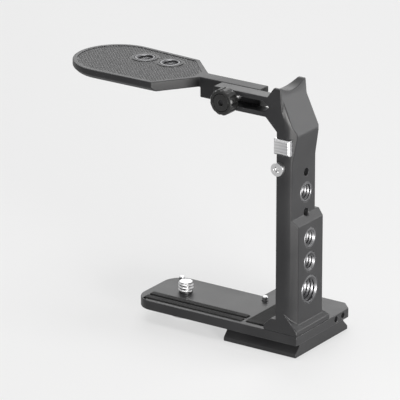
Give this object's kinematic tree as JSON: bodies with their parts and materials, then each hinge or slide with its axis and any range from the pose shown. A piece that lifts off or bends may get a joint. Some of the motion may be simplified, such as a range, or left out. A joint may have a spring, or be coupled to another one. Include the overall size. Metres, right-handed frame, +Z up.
{
  "type": "camera cage",
  "caption": "Half cage for a mirrorless camera: base with tongue and dovetail rail, faceted side frame with threads, slotted arm and sliding round pad with lock knob.",
  "frame": {"origin": "middle of the whole outline, on the plane that the dovetail rail stands on", "axes": "+X towards the camera's port side where the side frame stands, +Y to the camera's rear, +Z up"},
  "size_m": [0.1076, 0.052, 0.11],
  "materials": {
    "black_anodised": "hard anodised, bead blasted, satin",
    "black_knob": "black anodised, fluted",
    "black_rubber": "moulded, matt",
    "bright_steel": "stainless, turned",
    "dark_steel": "black oxide",
    "fibre": "fibre washer"
  },
  "bodies": {
    "frame": {"base_plate": "black_anodised", "side_frame": "black_anodised", "tongue_strips": "black_rubber", "deck_rubber": "black_rubber", "side_rubber": "black_rubber", "side_inserts": "bright_steel", "large_insert": "bright_steel", "foot_bolts": "dark_steel", "foot_dowels": "bright_steel", "twist_pins": "bright_steel", "rail_stops": "dark_steel", "lug_clamp": "bright_steel", "lug_screw": "bright_steel"},
    "pad_carriage": {"top_pad": "black_anodised", "pad_rubber": "black_rubber", "pad_inserts": "bright_steel"},
    "knob_washer": {"knob_washer": "bright_steel"},
    "lock_knob": {"lock_knob": "black_knob", "knob_stud": "dark_steel"},
    "screw_washer": {"screw_washer": "fibre"},
    "camera_screw": {"camera_screw": "bright_steel"}
  },
  "joints": [
    {"name": "pad_slide", "type": "slide", "parent": "frame", "child": "pad_carriage", "axis": [1, 0, 0], "range_m": [-0.002, 0.004]},
    {"name": "knob_back", "type": "slide", "parent": "pad_carriage", "child": "knob_washer", "axis": [0, -1, 0], "range_m": [0, 0.0014]},
    {"name": "knob_turn", "type": "hinge", "parent": "knob_washer", "child": "lock_knob", "pos_m": [0.0216, -0.016, 0.1017], "axis": [0, -1, 0], "range_deg": [0, 720]},
    {"name": "screw_lift", "type": "slide", "parent": "frame", "child": "screw_washer", "axis": [0, 0, 1], "range_m": [0, 0.0016]},
    {"name": "screw_turn", "type": "hinge", "parent": "screw_washer", "child": "camera_screw", "pos_m": [-0.0098, 0.001, 0.005], "axis": [0, 0, 1], "continuous": true}
  ],
  "couplings": [
    {"joint": "knob_turn", "follows": "knob_back", "rad_per_m": 8976}
  ]
}
